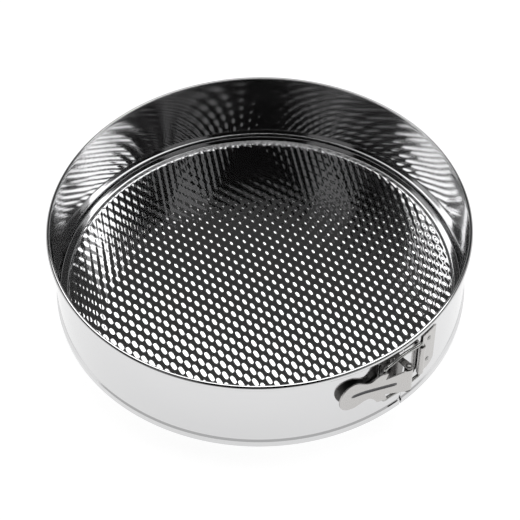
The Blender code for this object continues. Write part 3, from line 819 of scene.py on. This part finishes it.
def build_pan():
    wall = metal("tinplate_wall", (0.68, 0.68, 0.685), 0.09, spread=0.03, grain=WALL_GRAIN, bump=0.02)
    plate = metal("tinplate_base", (0.72, 0.72, 0.725), 0.07, spread=0.02, grain=BASE_GRAIN, bump=0.01)
    latch = metal("latch_steel", (0.53, 0.52, 0.51), 0.27, spread=0.02, grain=LATCH_GRAIN, bump=0.01)
    # Painted shade on the lever's back faces, which lie in shade against the band: a darker copy of the
    # latch steel
    painted_back_shade = metal("latch_back_painted_shade", (0.20, 0.195, 0.19), 0.40, spread=0.06, grain=LATCH_GRAIN, bump=0.05)
    # Painted shade in the bottom and upper side of the lever's bead: a darker copy of the latch steel
    painted_bead_shade = metal("latch_bead_painted_shade", (0.13, 0.13, 0.135), 0.30, spread=0.02, grain=LATCH_GRAIN, bump=0.01)
    # Painted shade: the bracket and the pin are latch steel made darker for the shade they sit in
    # behind the lever
    shade = metal("bracket_painted_shade", (0.22, 0.215, 0.21), 0.22, spread=0.05, grain=LATCH_GRAIN, bump=0.05)
    wire = metal("wire_steel", (0.40, 0.40, 0.39), 0.20, spread=0.05, grain=WIRE_GRAIN, bump=0.05)

    left_end = 2 * math.pi + SEAM_LEFT / WALL_OUTER
    left = band_half("band_left", math.pi, left_end, wall, slit=True)
    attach(left, "pan")
    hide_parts("band")
    rim_start = (SEAM_LEFT + RIM_GAP) / WALL_OUTER
    right = band_half("band_right", SEAM_RIGHT / WALL_OUTER, math.pi, wall, rim_start=rim_start)
    strip = tongue("band_tongue", wall)
    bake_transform(right)
    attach(strip, "band_end")

    for piece, body, node, slot in (
        (base_piece(plate), "base", "base_plate", "tinplate"),
        (lever_piece(latch, painted_back_shade, painted_bead_shade), "lever", "lever", "latch_steel"),
        (bracket_piece(shade), "pan", "lever_bracket", "latch_steel"),
        (pin_piece(shade), "pan", "pivot_pin", "wire_steel"),
        (keeper_piece(latch), "band_end", "keeper_plate", "latch_steel"),
        (bail_piece(wire), "bail", "bail_wire", "wire_steel"),
    ):
        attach(piece, body)
        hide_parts(node)
    rivet_pieces(wire)


def build_camera():
    data = bpy.data.cameras.new("camera")
    data.sensor_width = SENSOR_WIDTH
    data.lens = SENSOR_WIDTH * LENS_PIXELS / IMAGE_PIXELS
    data.clip_start = CAMERA_CLIP
    camera = bpy.data.objects.new("camera", data)
    bpy.context.scene.collection.objects.link(camera)
    tilt = math.pi / 2 - CAMERA_ELEVATION + math.atan(RAISE_PIXELS / LENS_PIXELS)
    turn = Matrix.Rotation(tilt, 4, "X") @ Matrix.Rotation(CAMERA_ROLL, 4, "Z")
    spot = Vector((0, -math.cos(CAMERA_ELEVATION), math.sin(CAMERA_ELEVATION))) * CAMERA_DISTANCE
    camera.matrix_world = Matrix.Translation(spot) @ turn
    bpy.context.scene.camera = camera


def area_light(name, location, size, power):
    """A rectangular lamp that faces the pan."""
    data = bpy.data.lights.new(name, "AREA")
    data.shape = "RECTANGLE"
    data.size, data.size_y = size
    data.energy = power
    lamp = bpy.data.objects.new(name, data)
    lamp.location = location
    lamp.rotation_euler = (-Vector(location)).to_track_quat("-Z", "Y").to_euler()
    bpy.context.scene.collection.objects.link(lamp)


def larger(nodes, links, first, second):
    step = nodes.new("ShaderNodeMath")
    step.operation = "MAXIMUM"
    links.new(first, step.inputs[0])
    links.new(second, step.inputs[1])
    return step.outputs["Value"]


def build_world():
    """A dim room, darker to the front and lighter low down."""
    world = bpy.data.worlds.new("studio")
    bpy.context.scene.world = world
    world.use_nodes = True
    nodes = world.node_tree.nodes
    links = world.node_tree.links
    room = nodes["Background"]
    room.inputs["Color"].default_value = (1, 1, 1, 1)
    place = nodes.new("ShaderNodeTexCoord")
    split = nodes.new("ShaderNodeSeparateXYZ")
    level = nodes.new("ShaderNodeMapRange")
    level.inputs["From Min"].default_value = HORIZON_START
    level.inputs["From Max"].default_value = HORIZON_END
    level.inputs["To Min"].default_value = HORIZON_LEVEL
    depth = nodes.new("ShaderNodeMapRange")
    depth.inputs["From Min"].default_value = FRONT_START
    depth.inputs["From Max"].default_value = FRONT_END
    depth.inputs["To Min"].default_value = FRONT_LEVEL
    depth.inputs["To Max"].default_value = ROOM_LEVEL
    links.new(place.outputs["Generated"], split.inputs["Vector"])
    links.new(split.outputs["Y"], depth.inputs["Value"])
    links.new(depth.outputs["Result"], level.inputs["To Max"])
    links.new(split.outputs["Z"], level.inputs["Value"])
    links.new(level.outputs["Result"], room.inputs["Strength"])


def build_floor():
    """White paper. It looks white to the camera and in the metal, and shows the pan's shadow."""
    mesh = bpy.data.meshes.new("floor")
    corners = [(FLOOR_REACH * x, FLOOR_REACH * y, 0) for x, y in ((-1, -1), (1, -1), (1, 1), (-1, 1))]
    mesh.from_pydata(corners, [], [(0, 1, 2, 3)])
    floor = bpy.data.objects.new("floor", mesh)
    floor.location.z = -FLOOR_DROP
    bpy.context.scene.collection.objects.link(floor)
    paint = bpy.data.materials.new("floor_paper")
    paint.use_nodes = True
    nodes = paint.node_tree.nodes
    links = paint.node_tree.links
    shader = nodes["Principled BSDF"]
    shader.inputs["Base Color"].default_value = (FLOOR_COLOUR,) * 3 + (1.0,)
    shader.inputs["Roughness"].default_value = FLOOR_ROUGHNESS
    shader.inputs["Specular IOR Level"].default_value = FLOOR_GLOSS
    rays = nodes.new("ShaderNodeLightPath").outputs
    seen = larger(nodes, links, rays["Is Camera Ray"], rays["Is Glossy Ray"])
    seen = larger(nodes, links, seen, rays["Is Transmission Ray"])
    glow = nodes.new("ShaderNodeEmission")
    glow.inputs["Color"].default_value = (FLOOR_GLOW,) * 3 + (1.0,)
    links.new(seen, glow.inputs["Strength"])
    add = nodes.new("ShaderNodeAddShader")
    links.new(shader.outputs["BSDF"], add.inputs[0])
    links.new(glow.outputs["Emission"], add.inputs[1])
    links.new(add.outputs["Shader"], nodes["Material Output"].inputs["Surface"])
    mesh.materials.append(paint)


def build_studio():
    build_world()
    build_floor()
    power = SOFTBOX_LEVEL * math.pi * SOFTBOX_SIZE[0] * SOFTBOX_SIZE[1]
    area_light("softbox", SOFTBOX_PLACE, SOFTBOX_SIZE, power)
    power = BACK_LEVEL * math.pi * BACK_SIZE[0] * BACK_SIZE[1]
    right, depth, height = BACK_PLACE
    area_light("back_left", (-right, depth, height), BACK_SIZE, power)
    area_light("back_right", (right, depth, height), BACK_SIZE, power)
    right, depth, height = FILL_PLACE
    area_light("left_fill", (-right, depth, height), FILL_SIZE, FILL_POWER)
    area_light("right_fill", (right, depth, height), FILL_SIZE, FILL_POWER)


build_pan()
build_camera()
build_studio()
bpy.context.scene.view_settings.view_transform = "Standard"
bpy.context.view_layer.update()
